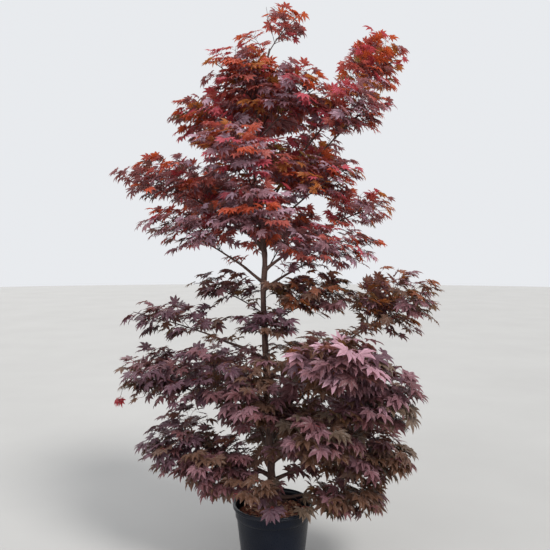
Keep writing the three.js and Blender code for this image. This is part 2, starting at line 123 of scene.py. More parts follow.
# Leaf tints as base colour, darker mottle, vein and underside, in thousandths
LEAF_TINTS = {
    # Next tint: plum darkened as painted shade, dealt only to sprays in the shade
    "plum_dark": ((74, 29, 35), (32, 12, 15), (120, 40, 44), (130, 52, 34)),
    "plum": ((168, 68, 80), (90, 35, 42), (230, 85, 92), (200, 80, 54)),
    "violet": ((145, 71, 98), (78, 37, 53), (210, 105, 135), (160, 66, 60)),
    "mauve": ((262, 130, 158), (158, 70, 88), (330, 155, 170), (230, 100, 80)),
    # Next tint: a leaf mauve lightened to pale rose by a painted sheen, the sky's reflection on sunlit tops
    "rose_mauve": ((560, 335, 415), (375, 195, 255), (640, 380, 440), (380, 160, 120)),
    "bronze": ((138, 73, 50), (72, 32, 22), (200, 90, 56), (200, 95, 38)),
    "sage": ((150, 100, 72), (85, 52, 40), (220, 150, 105), (170, 115, 65)),
    "ember": ((260, 78, 36), (140, 42, 22), (380, 130, 62), (420, 150, 45)),
    "young_crimson": ((470, 28, 45), (260, 16, 26), (560, 75, 80), (420, 60, 50)),
    "brick": ((430, 105, 82), (260, 58, 48), (520, 130, 110), (540, 110, 85)),
    "scarlet": ((520, 90, 40), (310, 46, 24), (640, 120, 60), (640, 120, 40)),
    "rust": ((440, 140, 34), (250, 75, 22), (560, 210, 70), (560, 190, 45)),
    "crimson": ((530, 88, 120), (330, 48, 66), (640, 125, 170), (560, 80, 95)),
    "smoky": ((280, 148, 180), (170, 80, 100), (360, 165, 200), (320, 110, 105)),
    # Next tint: a pale pink-lilac that is a painted highlight, the sky's glint on leaf tops
    "lilac": ((550, 375, 460), (360, 215, 280), (620, 400, 480), (400, 170, 170)),
    "gold": ((370, 200, 45), (220, 115, 28), (480, 290, 90), (340, 190, 55)),
}

# For each mix of tints, how long a leaf's middle lobe is, and the shares of the tints for sprays in
# the light and for sprays in the shade: these shares paint light and shade, as lit sprays get lighter
# tints and shaded sprays darker ones. The light comes from LIT_SIDE, and LEAF_GLOW is the share of it
# that passes through a leaf
TINT_MIXES = {
    "scarlet_top": (
        45,
        {"scarlet": 5, "brick": 3, "rust": 2, "crimson": 3, "lilac": 3},
        {"brick": 4, "scarlet": 2, "smoky": 3, "crimson": 1, "rust": 1, "gold": 0.5},
    ),
    "red_upper": (
        44,
        {"scarlet": 4, "brick": 2, "rust": 1.5, "crimson": 4, "lilac": 5, "smoky": 2},
        {"brick": 3, "smoky": 5, "scarlet": 2, "rust": 0.7, "crimson": 2.5, "lilac": 2, "gold": 0.4},
    ),
    "smoky_red": (
        46,
        {"brick": 2, "scarlet": 2, "crimson": 2, "lilac": 5, "smoky": 4, "mauve": 3},
        {"smoky": 5, "brick": 3, "scarlet": 1, "mauve": 2, "lilac": 1},
    ),
    "dusky": (
        55,
        {"violet": 6, "mauve": 1.5, "plum": 2.5},
        {"plum_dark": 4, "violet": 3, "plum": 1, "bronze": 2},
    ),
    "sunlit_mauve": (
        78,
        {"rose_mauve": 7, "mauve": 4, "violet": 1.5, "plum": 1.5, "ember": 0.8},
        {"plum": 4, "violet": 2, "mauve": 3, "bronze": 2, "sage": 1, "ember": 0.8},
    ),
    "half_lit_mauve": (
        75,
        {"rose_mauve": 1.5, "mauve": 3.5, "violet": 2, "plum": 3},
        {"plum": 3, "violet": 1, "bronze": 2, "sage": 1.5, "plum_dark": 1},
    ),
    "rusty_plum": (
        52,
        {"ember": 3, "bronze": 2, "mauve": 3, "plum": 2},
        {"bronze": 3, "ember": 2, "plum": 3, "sage": 1},
    ),
    "shaded_plum": (
        60,
        {"plum": 4, "mauve": 3, "bronze": 4, "sage": 1},
        {"plum_dark": 2, "bronze": 4, "sage": 1, "plum": 3},
    ),
    "skirt_olive": (
        68,
        {"mauve": 3, "plum": 3, "bronze": 3, "sage": 1.5},
        {"plum_dark": 2, "sage": 1, "bronze": 4, "plum": 2},
    ),
}
LEAF_RADIUS, IN_LIGHT, IN_SHADE = range(3)
LIT_SIDE = np.array([0.2, -0.45, 0.75])
LIT_PLAY = (-0.3, 0.3)
LIT_DEPTH = 0.12
LEAF_GLOW = 0.3

# Limbs, by the same rule as the solids
LINE_STEPS = 60
BOUGH_TIP_RADIUS = 3.6
BOUGH_BASE_SHARE = 0.62
ELBOW_OUT = 0.4
ELBOW_UP = 0.6
STEM_REACH = 0.66
STEM_LIFT = 0.3
ENTRY_DEPTH = 0.86
ENTRY_STEPS = 100
CELL_EDGE = 1.16
CELL_MARGIN = 0.04
STEM_TIP_RADIUS = 1.8
FIRST_ON_SEATED_STEM = 0.12
SEED_STEP = 7919
GOLDEN_ANGLE = 137.5

# Sides of each kind of limb, and the stretches that it is bent in
TRUNK_SIDES, TRUNK_RINGS = 28, 330
BOUGH_SIDES, BOUGH_STEPS = 14, 36
STEM_SIDES, STEM_STEPS, STEM_MARKS = 8, 12, 24
TWIG_SIDES, TWIG_STEPS = 5, 4
TWIG_LINE_STEPS = 12
SHOOT_SIDES, SHOOT_STEPS = 4, 2
STALK_SIDES = 3

# Relief of trunk and boughs, mostly as shares of their radius
FORK_SWELLING, FORK_REACH = 0.12, 16
FLARE, FLARE_HEIGHT, FLARE_ROOTS = 0.22, 60, 5
COLLAR, COLLAR_REACH = 0.5, 0.05
KNUCKLE = 0.10
COARSE_RELIEF, FINE_RELIEF, BOUGH_RELIEF = 0.055, 0.035, 0.07
SWAY_ACROSS, SWAY_UP = 5, 4

# Sprays: how many a mass holds, and how a twig and its leaves lie. SPRAY_SHARE makes a mass thinner,
# or fuller above 1, and LEAF_SPACING is a share of the length of its leaves' middle lobe.
FEWEST_SPRAYS = 9
GIRTH_OF_FEWEST = 110
GIRTH_PER_SPRAY = 4.6
SPRAY_SHARE = {
    "left_big": 0.72, "left_inner": 0.55, "left_lower": 0.8, "left_long": 0.8, "front_lower": 0.6,
    "left_skirt": 0.9, "back_left_lower": 0.5, "back_skirt": 0.7, "trunk_spray": 0.7, "left_spray": 0.75,
    "left_upper": 0.8, "left_middle": 0.75, "right_middle": 0.85, "front_skirt": 0.5,
    "front_middle": 0.8, "back_middle": 0.65, "right_upper": 1.25,
}
SPRAY_DEPTH = (0.02, 1)
SPRAY_CROWDING = 0.42
SPRAY_TURN = (-25, 25)
TIP_SHARE = 0.90
TWIG_LEAN = 0.7
TWIG_ARCH = 0.14
TWIG_RADIUS = 1.5
TWIG_TIP_RADIUS = 0.8
LEAF_SPACING = 0.88
BARE_SHARE = 0.30
PAIR_PLACE = 0.4
PAIR_ROLL = (-0.35, 0.35)
SHOOT_CHANCE = 0.45
SHOOT_LENGTH = (55, 95)
SHOOT_RISE = (-0.15, 0.3)
SHOOT_EDGE = 1.05
SHOOT_RADIUS = 1.3 * TWIG_TIP_RADIUS
MIXED_SHARE = 0.3
STALK_LENGTH = (20, 36)
STALK_RISE = (0.05, 0.4)
STALK_RADII = (0.8625, 0.6)
LEAF_SIZE_PLAY = (0.78, 1.10)
LEAF_AHEAD = (0.35, 0.8)
LEAF_OUTWARD = 0.45
LEAF_SAG = (0.05, 0.75)
LEAF_TWIST = (-0.4, 0.4)
END_LEAVES = (-0.9, 0.0, 0.9)
LEAF_TILT = {"red_leaves": (0.35, 1.5), "plum_leaves": (0.15, 1.05)}
LEAF_EDGE = 1.12
REACH_SPARE = 38
RISE_SPARE = 8
TRUNK_CLEARANCE = 24
POT_CLEARANCE = 8

# Short leafy twigs along the boughs and up the trunk
SIDE_TWIG_STEP = 62
SIDE_TWIG_LENGTH = (70, 135)
SIDE_TWIG_ASIDE = (0.5, 1)
SIDE_TWIG_AHEAD = (0.3, 0.9)
SIDE_TWIG_RISE = (-0.1, 0.5)
BOUGH_BARE_SHARE = 0.30
TRUNK_TWIG_STEP = 48
TRUNK_BARE = (1290, 1480)
TRUNK_TWIG_RANGE = (420, 2400)
TRUNK_TWIG_LENGTH = (90, 175)
TRUNK_TWIG_RADIUS = 1.2 * TWIG_RADIUS
TRUNK_TWIG_SHIFT = (-15, 15)
TRUNK_TWIG_TURN = (-20, 20)
TRUNK_TWIG_RISE = (0.3, 0.9)

# A leaf's lobes: bearing from the middle lobe and length as a share of it
LOBES = [(-118, 0.40), (-78, 0.72), (-39, 0.93), (0, 1.0), (39, 0.93), (78, 0.72), (118, 0.40)]
BAY_DEPTH = 0.45
LOBE_BELLY = (0.57, 0.170)
LOBE_NECK = (0.80, 0.092)
SMALL_LOBE = 0.5
STALK_BAY = (152, 0.06)
LOBE_TURN = (-4, 4)
LOBE_LENGTH = (0.94, 1.05)
LOBE_LIFT = (-0.04, 0.05)

# Leaf shapes, each by how far its lobes droop and how much it is cupped
BLADE_SHAPES = [(0.06, 1.0), (0.12, 0.6), (0.18, 1.2), (0.24, 0.8), (0.14, -0.4), (0.30, 1.0)]

# Pot and soil
POT_RADIUS = 190
POT_HEIGHT = 320
SOIL_RADIUS = 173
SOIL_LEVEL = 272
SOIL_FALL = 6
POT_SEGMENTS = 144
SOIL_RINGS, SOIL_SEGMENTS = 46, 96
SOIL_SUNK = 3

# Bark chips: how many, how far from the wall, and how long; some are longer. Their width and
# thickness are shares of their length, and they lie a little above or below the compost.
CHIP_COUNT = 1500
CHIP_WALL_GAP = 9
CHIP_LENGTH = (6, 17)
CHIP_WIDTH, CHIP_THICKNESS = (0.3, 0.62), (0.12, 0.26)
CHIP_PITCH, CHIP_ROLL = (-0.35, 0.35), (-0.7, 0.7)
CHIP_LIFT = (-3.5, 4.0)
LONG_CHIP_CHANCE = 0.14
LONG_CHIP = 1.5

# Two twigs whose places are given: the crimson late shoot and the sprig over the pot's rim. Each
# leaf has its bearing and its share of the full size, and a drop says how steeply they hang.
YOUNG_TIP = np.array([-706.0, -52.0, 838.0])
YOUNG_LEAVES = [(bearing, 0.7) for bearing in (165, 205, 240, 275, 320)]
YOUNG_DROP = -1.3
RIM_SPRIG_TIP = np.array([-6.0, -176.0, 374.0])
RIM_LEAVES = [(255, 0.8), (290, 0.65)]
RIM_DROP = -1.4

# Studio lights: name, heading, spread in degrees, power and colour
LIGHTS = [
    ("key", (-2.4, 3.0, -4.2), 20, 3.1, (1.0, 0.975, 0.94)),
    ("fill", (3.0, 3.2, -1.8), 60, 1.3, (0.97, 0.98, 1.0)),
    ("back", (1.2, -3.4, -3.4), 45, 0.9, (1.0, 0.98, 0.96)),
]
ROOM_COLOUR = (0.90, 0.92, 0.95, 1)
ROOM_POWER = 0.90
FLOOR_RADIUS, FLOOR_SIDES = 30, 64

# The photograph's view: its width and focal length in pixels, how far its middle lies below the
# horizon, and the eye's place in metres
FRAME_WIDTH, FOCAL_LENGTH, HORIZON_RISE = 550, 620, 19
SENSOR_WIDTH = 36
EYE = (0.010, -2.910, 1.488)


def dice(seed):
    """Seeded random numbers between two limits."""
    state = seed

    def roll(low, high):
        nonlocal state
        state = (state * 1664525 + 1013904223) % 4294967296
        return low + (high - low) * state / 4294967296

    return roll


def unit(vector):
    return vector / max(np.linalg.norm(vector), 1e-9)


def lerp(a, b, share):
    return a + (b - a) * share


def heading_at(bearing, rise=0.0):
    """A heading by its bearing in degrees, with its rise for a level run of 1."""
    angle = math.radians(bearing)
    return np.array([math.cos(angle), math.sin(angle), rise])


def lean_at(height, column):
    """The trunk's lean or radius at a height, smooth through the table."""
    rows = TRUNK_LEAN
    i = next((k for k, row in enumerate(rows) if row[HEIGHT] >= height), len(rows) - 1)
    i = max(1, i)
    before, low, high, after = (rows[min(max(k, 0), len(rows) - 1)] for k in (i - 2, i - 1, i, i + 1))
    span = high[HEIGHT] - low[HEIGHT]

    def slope(a, b):
        return (b[column] - a[column]) / (b[HEIGHT] - a[HEIGHT]) if b[HEIGHT] > a[HEIGHT] else 0.0

    t = (height - low[HEIGHT]) / span
    start, end = slope(before, high) * span, slope(low, after) * span
    return (
        (2 * t**3 - 3 * t**2 + 1) * low[column]
        + (t**3 - 2 * t**2 + t) * start
        + (3 * t**2 - 2 * t**3) * high[column]
        + (t**3 - t**2) * end
    )


def trunk_at(height):
    return np.array([lean_at(height, RIGHT), lean_at(height, BACK), float(height)])


class Line:
    """A bent line that is read by the share of its length."""

    def __init__(self, start, elbow, end, steps=LINE_STEPS):
        t = np.linspace(0, 1, steps + 1)[:, None]
        self.points = (1 - t) ** 2 * start + 2 * t * (1 - t) * elbow + t**2 * end
        gaps = np.linalg.norm(np.diff(self.points, axis=0), axis=1)
        self.travel = np.concatenate([[0], np.cumsum(gaps)])
        self.length = self.travel[-1]

    def at(self, share):
        where = np.clip(share, 0, 1) * self.length
        return np.array([np.interp(where, self.travel, self.points[:, k]) for k in range(3)])

    def stretch(self, first, last, steps):
        return np.array([self.at(lerp(first, last, i / steps)) for i in range(steps + 1)])


class Mass:
    """One foliage mass: its place, its axes and the line that its limb follows."""

    def __init__(self, order, row):
        (self.name, bearing, reach, height, self.length, self.width, self.rise,
         self.leaves_trunk_at, self.bough, self.mix) = row
        self.seed = SEED_STEP * (order + 1)
        self.outward = heading_at(bearing)
        self.across = np.cross(UP, self.outward)
        self.middle = trunk_at(min(height, TRUNK_TOP)) + self.outward * reach
        self.middle[2] = height
        start = trunk_at(self.leaves_trunk_at)
        end = self.middle + self.outward * STEM_REACH * self.length
        end[2] += STEM_LIFT * self.rise
        elbow = lerp(start, end, ELBOW_OUT)
        elbow[2] = lerp(start[2], end[2], ELBOW_UP)
        self.line = Line(start, elbow, end)
        self.base_radius = BOUGH_BASE_SHARE * lean_at(self.leaves_trunk_at, RADIUS)
        self.node = f"foliage_{self.name}"
        self.slot = "red_leaves" if height > RED_ABOVE else "plum_leaves"

    def depth(self, points):
        """How deep points lie: 0 at the middle, 1 at the edge."""
        offset = np.atleast_2d(points) - self.middle
        return np.sqrt(
            (offset @ self.outward / self.length) ** 2
            + (offset @ self.across / self.width) ** 2
            + (offset[:, 2] / self.rise) ** 2
        )

    def place(self, x, y, z):
        point = self.middle + self.outward * (x * self.length) + self.across * (y * self.width)
        return point + UP * (z * self.rise)


MASSES = [Mass(order, row) for order, row in enumerate(MASS_TABLE)]


def owns(mass, point):
    depth = mass.depth(point)[0]
    if depth > CELL_EDGE:
        return False
    return all(other is mass or other.depth(point)[0] > depth + CELL_MARGIN for other in MASSES)


def entry_of(mass):
    """The share of its line at which a bough enters its mass."""
    for share in np.arange(ENTRY_STEPS) / ENTRY_STEPS:
        point = mass.line.at(share)
        if mass.depth(point)[0] < ENTRY_DEPTH and owns(mass, point):
            return share
    return 0.5


def add_object(name, data):
    made = bpy.data.objects.new(name, data)
    bpy.context.scene.collection.objects.link(made)
    return made


class Pile:
    """Corners and faces gathered for one joined piece, with the nodes that it stands for."""

    def __init__(self):
        self.corners, self.faces, self.grid, self.nodes, self.count = [], [], [], set(), 0

    def add(self, corners, faces, grid, node):
        self.corners.append(corners)
        self.grid.append(grid)
        self.faces.extend((np.asarray(block) + self.count).tolist() for block in faces)
        self.count += len(corners)
        self.nodes.add(node)

    def piece(self, name, finish, slot, smooth=True, folded=False):
        mesh = bpy.data.meshes.new(name)
        faces = [face for block in self.faces for face in block]
        mesh.from_pydata((np.vstack(self.corners) * MM).tolist(), [], faces)
        layer = mesh.uv_layers.new(name="surface")
        loops = np.empty(len(mesh.loops), np.int32)
        mesh.loops.foreach_get("vertex_index", loops)
        layer.data.foreach_set("uv", np.vstack(self.grid)[loops].astype(np.float32).ravel())
        mesh.polygons.foreach_set("use_smooth", np.full(len(mesh.polygons), smooth))
        if folded:
            ends = np.empty(2 * len(mesh.edges), np.int32)
            mesh.edges.foreach_get("vertices", ends)
            on_rib = np.vstack(self.grid)[ends, 0].reshape(-1, 2) < 0.5
            mesh.edges.foreach_set("use_edge_sharp", on_rib.all(axis=1))
        mesh.materials.append(finish)
        mesh.update()
        made = add_object(name, mesh)
        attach(made, "root")
        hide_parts(*sorted(self.nodes))


def bands(count, sides):
    """Faces between rings of corners, each ring with the same number of sides."""
    steps = [(k, (k + 1) % sides) for k in range(sides)]
    starts = range(0, (count - 1) * sides, sides)
    return [[[i + k, i + on, i + sides + on, i + sides + k] for k, on in steps] for i in starts]


def tube(points, radii, sides, relief=None):
    """Rings of corners round a line, closed at both ends, with how far round and along they lie."""
    points = np.asarray(points, float)
    count = len(points)
    tangents = np.gradient(points, axis=0)
    upright = abs(unit(tangents[0])[2]) >= 0.9
    normal = unit(np.cross(tangents[0], np.array([0, 1.0, 0]) if upright else UP))
    angles = np.linspace(0, 2 * math.pi, sides + 1)
    travel = np.concatenate([[0], np.cumsum(np.linalg.norm(np.diff(points, axis=0), axis=1))])
    corners, grid = [], []
    for i in range(count):
        along = unit(tangents[i])
        normal = unit(normal - along * np.dot(normal, along))
        side = np.cross(along, normal)
        for k, angle in enumerate(angles[:-1]):
            grown = radii[i] if relief is None else radii[i] * relief(i, angle, points[i])
            corners.append(points[i] + (normal * math.cos(angle) + side * math.sin(angle)) * grown)
            grid.append((k / sides * 2 * math.pi * radii[i] * MM, travel[i] * MM))
    caps = [[list(range(sides))[::-1]], [[(count - 1) * sides + k for k in range(sides)]]]
    return np.array(corners), [*bands(count, sides), *caps], np.array(grid)


def leaf_blade(droop, cup, seed):
    """A seven-lobed leaf of middle lobe 1: corners, faces and each corner's side and along."""
    random = dice(seed)
    corners, grid, faces = [np.zeros(3)], [(0.0, 0.0)], []

    def corner(x, y, lift, side, along):
        reach = math.hypot(x, y)
        corners.append(np.array([x, y, lift - droop * reach**2]))
        grid.append((side, along))
        return len(corners) - 1

    def bay(bearing, depth):
        angle = math.radians(bearing)
        return corner(depth * math.cos(angle), depth * math.sin(angle), cup * 0.05, 1.0, 0.3)

    bays = [bay(-STALK_BAY[0], STALK_BAY[1])]
    for (low, short), (high, long) in zip(LOBES, LOBES[1:]):
        bays.append(bay((low + high) / 2, BAY_DEPTH * (short + long) / 2 * random(0.9, 1.1)))
    bays.append(bay(*STALK_BAY))
    for k, (bearing, length) in enumerate(LOBES):
        ahead = heading_at(bearing + random(*LOBE_TURN))[:2]
        length *= random(*LOBE_LENGTH)
        lift = random(*LOBE_LIFT)
        aside = np.array([-ahead[1], ahead[0]])

        def on_lobe(along, offset, raised):
            x, y = ahead * along * length + aside * offset * length
            return corner(x, y, raised + lift * along, 0.0 if offset == 0 else 1.0, along)

        (belly, wide), (neck, narrow) = LOBE_BELLY, LOBE_NECK
        rib_one, tip = on_lobe(belly, 0, 0), on_lobe(1.0, 0, -0.05)
        right_one, left_one = on_lobe(belly, -wide, cup * 0.08), on_lobe(belly, wide, cup * 0.08)
        grid[tip] = (0.4, 1.0)
        heart, right_bay, left_bay = 0, bays[k], bays[k + 1]
        faces += [
            [heart, right_bay, right_one], [heart, right_one, rib_one],
            [heart, left_one, left_bay], [heart, rib_one, left_one],
        ]
        if length < SMALL_LOBE:
            faces += [[rib_one, right_one, tip], [rib_one, tip, left_one]]
            continue
        rib_two = on_lobe(neck, 0, 0)
        right_two, left_two = on_lobe(neck, -narrow, cup * 0.05), on_lobe(neck, narrow, cup * 0.05)
        faces += [
            [rib_one, right_one, right_two], [rib_one, right_two, rib_two], [rib_two, right_two, tip],
            [rib_one, left_two, left_one], [rib_one, rib_two, left_two], [rib_two, tip, left_two],
        ]
    return np.array(corners), np.array(faces), np.array(grid)


BLADES = [leaf_blade(droop, cup, 31 * k + 5) for k, (droop, cup) in enumerate(BLADE_SHAPES)]


class Crown:
    """The piles that leaves, stalks and twigs are gathered in."""

    def __init__(self):
        self.leaves, self.stalks, self.twigs = (defaultdict(Pile) for _ in range(3))


def pick(shares, random):
    mark = random(0, sum(shares.values()))
    for name, share in shares.items():
        mark -= share
        if mark <= 0:
            return name
    return name


def in_reach(points):
    """Whether points keep near the solids' box and out of the pot."""
    spare = np.array([REACH_SPARE, REACH_SPARE, RISE_SPARE])
    low = np.array(cad_box[0]) / MM - spare
    high = np.array(cad_box[1]) / MM + spare
    if (points < low).any() or (points > high).any():
        return False
    level = np.hypot(points[:, 0], points[:, 1])
    in_pot = (level < POT_RADIUS + POT_CLEARANCE) & (points[:, 2] < POT_HEIGHT + POT_CLEARANCE)
    return not in_pot.any()


def grow_leaf(mass, crown, tint, root, direction, random, edge, growth=1.0):
    """A leaf on its stalk, hanging away from twig and trunk with its upper face to the light.

    It is left out close to the trunk, in the pot, and past the mass's edge where one is given.
    """
    stalk_length = random(*STALK_LENGTH) * growth
    stalk = unit(direction + UP * random(*STALK_RISE))
    heart = root + stalk * stalk_length
    from_trunk = (heart - trunk_at(min(max(heart[2], BARK_FOOT), TRUNK_TOP))) * np.array([1, 1, 0])
    away = unit(from_trunk)
    aim = unit(direction + away * LEAF_OUTWARD - UP * random(*LEAF_SAG))
    sideways = np.cross(UP, away)
    face = UP + away * random(*LEAF_TILT[mass.slot]) + sideways * random(*LEAF_TWIST)
    size = TINT_MIXES[mass.mix][LEAF_RADIUS] * random(*LEAF_SIZE_PLAY) * growth
    y = unit(np.cross(face, aim))
    basis = np.stack([aim, y, np.cross(aim, y)])
    corners, faces, grid = BLADES[int(random(0, len(BLADES) - 0.001))]
    blade = corners @ basis * size + heart
    if (edge and mass.depth(blade).max() > edge) or not in_reach(blade):
        return
    if np.linalg.norm(from_trunk) < TRUNK_CLEARANCE:
        return
    crown.leaves[mass.slot, tint].add(blade, [faces], grid, mass.node)
    crown.stalks[mass.slot].add(*tube([root, heart], STALK_RADII, STALK_SIDES), mass.node)


def lay_twig(mass, crown, points, start, end, sides=TWIG_SIDES):
    radii = [lerp(start, end, i / (len(points) - 1)) for i in range(len(points))]
    crown.twigs[mass.slot].add(*tube(points, radii, sides), mass.node)


def leafy_twig(mass, crown, tint, root, tip, radius, random, shoots, edge=LEAF_EDGE):
    """A twig that arches to its tip, with opposite leaves, side shoots and leaves at its end."""
    length = np.linalg.norm(tip - root)
    elbow = lerp(root, tip, 0.5) + UP * TWIG_ARCH * length
    line = Line(root, elbow, tip, TWIG_LINE_STEPS)
    steps, sides = (TWIG_STEPS, TWIG_SIDES) if shoots else (SHOOT_STEPS, SHOOT_SIDES)
    lay_twig(mass, crown, line.stretch(0, 1, steps), radius, TWIG_TIP_RADIUS, sides)
    spacing = LEAF_SPACING * TINT_MIXES[mass.mix][LEAF_RADIUS]
    pairs = max(1, round(length * (1 - BARE_SHARE) / spacing))
    for k in range(pairs):
        share = BARE_SHARE + (1 - BARE_SHARE) * (k + PAIR_PLACE) / pairs
        node = line.at(share)
        ahead = unit(line.at(share + 0.04) - line.at(share - 0.04))
        level = unit(np.cross(UP, ahead) + UP * random(*PAIR_ROLL))
        for side in (1, -1):
            leaf_tint = tint_at(mass, node, random) if random(0, 1) < MIXED_SHARE else tint
            direction = unit(level * side + ahead * random(*LEAF_AHEAD))
            if shoots and random(0, 1) < SHOOT_CHANCE:
                end = node + unit(direction + UP * random(*SHOOT_RISE)) * random(*SHOOT_LENGTH)
                if mass.depth(end)[0] < SHOOT_EDGE and in_reach(end[None]):
                    own = tint_at(mass, end, random)
                    leafy_twig(mass, crown, own, node, end, SHOOT_RADIUS, random, False, edge)
                    continue
            grow_leaf(mass, crown, leaf_tint, node, direction, random, edge)
    ahead = unit(line.at(1) - line.at(0.93))
    level = unit(np.cross(UP, ahead))
    for turn in END_LEAVES:
        grow_leaf(mass, crown, tint, tip, unit(ahead + level * turn), random, edge)


def tint_at(mass, place, random):
    """The tint of a spray: from the mix's light shares on top and outside, else its shade shares."""
    offset = (place - mass.middle) / np.array([mass.length, mass.length, mass.rise])
    lit = np.dot(offset, LIT_SIDE) + random(*LIT_PLAY) > LIT_DEPTH
    return pick(TINT_MIXES[mass.mix][IN_LIGHT if lit else IN_SHADE], random)


def nearest_mass(point):
    return min(MASSES, key=lambda mass: mass.depth(point)[0])


def grow_side_twigs(mass, crown):
    """Short leafy twigs on both sides of a bough's outer stretch."""
    random = dice(mass.seed + 101)
    entry = entry_of(mass)
    steps = int(mass.line.length * entry * (1 - BOUGH_BARE_SHARE) / SIDE_TWIG_STEP)
    for k in range(steps):
        share = entry * lerp(BOUGH_BARE_SHARE, 1, (k + random(0.2, 0.8)) / steps)
        root = mass.line.at(share)
        ahead = unit(mass.line.at(share + 0.03) - root)
        side = 1 if k % 2 else -1
        heading = mass.across * side * random(*SIDE_TWIG_ASIDE) + ahead * random(*SIDE_TWIG_AHEAD)
        heading = unit(heading + UP * random(*SIDE_TWIG_RISE))
        tip = root + heading * random(*SIDE_TWIG_LENGTH)
        leafy_twig(mass, crown, tint_at(mass, tip, random), root, tip, TWIG_RADIUS, random, False, None)


def grow_trunk_twigs(crown):
    """Short leafy twigs up the trunk, apart from its bare stretch."""
    random = dice(SEED_STEP * 90 + 7)
    heights = np.arange(*TRUNK_TWIG_RANGE, TRUNK_TWIG_STEP)
    for k, height in enumerate(heights):
        height += random(*TRUNK_TWIG_SHIFT)
        if TRUNK_BARE[0] < height < TRUNK_BARE[1]:
            continue
        bearing = GOLDEN_ANGLE * k + random(*TRUNK_TWIG_TURN)
        heading = unit(heading_at(bearing, random(*TRUNK_TWIG_RISE)))
        root = trunk_at(height)
        tip = root + heading * random(*TRUNK_TWIG_LENGTH)
        mass = nearest_mass(tip)
        tint = tint_at(mass, tip, random)
        leafy_twig(mass, crown, tint, root, tip, TRUNK_TWIG_RADIUS, random, True, None)


def grow_mass(mass, crown):
    """A stem through the mass, and sprays on twigs that leave it behind each spray's place."""
    random = dice(mass.seed)
    entry = entry_of(mass) if mass.bough else 0.0
    tip_radius = min(mass.base_radius, BOUGH_TIP_RADIUS)
    stem = mass.line.stretch(entry, 1, STEM_STEPS)
    lay_twig(mass, crown, stem, tip_radius, STEM_TIP_RADIUS, STEM_SIDES)
    girth = (mass.length * mass.width * mass.rise) ** (1 / 3)
    by_girth = FEWEST_SPRAYS + max(0, girth - GIRTH_OF_FEWEST) / GIRTH_PER_SPRAY
    sprays = round(by_girth * SPRAY_SHARE.get(mass.name, 1))
    turn = random(0, 360)
    first_leaf = entry if mass.bough else FIRST_ON_SEATED_STEM
    shares = np.linspace(first_leaf, 1, STEM_MARKS)
    stem_points = np.array([mass.line.at(share) for share in shares])
    for k in range(sprays):
        height = 1 - (2 * k + 1) / sprays
        level = math.sqrt(1 - height * height)
        angle = math.radians(turn + GOLDEN_ANGLE * k + random(*SPRAY_TURN))
        depth = random(*SPRAY_DEPTH) ** SPRAY_CROWDING
        place = mass.place(level * math.cos(angle) * depth, level * math.sin(angle) * depth, height * depth)
        tip = lerp(mass.middle, place, TIP_SHARE)
        gaps = np.linalg.norm(stem_points - tip, axis=1)
        back = TWIG_LEAN * gaps.min() / mass.line.length
        root = mass.line.at(max(shares[int(gaps.argmin())] - back, first_leaf))
        leafy_twig(mass, crown, tint_at(mass, tip, random), root, tip, TWIG_RADIUS, random, True)


def feed(socket, value):
    """Give a socket what another puts out, a plain colour or a number."""
    if isinstance(value, bpy.types.NodeSocket):
        socket.id_data.links.new(value, socket)
    else:
        socket.default_value = (*value, 1) if socket.type == "RGBA" else value


def put(tree, kind, values=(), **settings):
    """A shader node, with its settings and what its sockets are given."""
    made = tree.nodes.new(kind)
    for key, value in settings.items():
        setattr(made, key, value)
    for socket, value in dict(values).items():
        feed(made.inputs[socket], value)
    return made


def mix_colours(factor, first, second):
    sockets = {0: factor, 6: first, 7: second}
    return put(factor.id_data, "ShaderNodeMix", sockets, data_type="RGBA").outputs[2]


def ramp(value, low, high, start=0.0, end=1.0):
    sockets = {0: value, 1: low, 2: high, 3: start, 4: end}
    return put(value.id_data, "ShaderNodeMapRange", sockets).outputs[0]


def calc(operation, first, second):
    return put(first.id_data, "ShaderNodeMath", {0: first, 1: second}, operation=operation).outputs[0]


def places(tree):
    """Where each point lies on its object."""
    return put(tree, "ShaderNodeTexCoord").outputs["Object"]


def grain(where, scale, detail=4.0, roughness=0.6, stretch=None):
    """Noise over the surface, stretched where it is given."""
    tree = where.id_data
    if stretch:
        where = put(tree, "ShaderNodeMapping", {"Vector": where, "Scale": stretch}).outputs[0]
    sockets = {"Vector": where, "Scale": scale, "Detail": detail, "Roughness": roughness}
    return put(tree, "ShaderNodeTexNoise", sockets).outputs["Fac"]


def effect(name, colours, numbers=()):
    """A shader node group with inputs for colours and numbers, for use in several finishes."""
    group = bpy.data.node_groups.new(name, "ShaderNodeTree")
    for labels, kind in ((colours, "NodeSocketColor"), (numbers, "NodeSocketFloat")):
        for label in labels:
            group.interface.new_socket(label, in_out="INPUT", socket_type=kind)
    return group, group.nodes.new("NodeGroupInput").outputs


def give(group, **values):
    """What an effect puts out: its colour, and numbers such as its height."""
    for label in values:
        kind = "NodeSocketColor" if label == "Color" else "NodeSocketFloat"
        group.interface.new_socket(label, in_out="OUTPUT", socket_type=kind)
    put(group, "NodeGroupOutput", values)
    return group


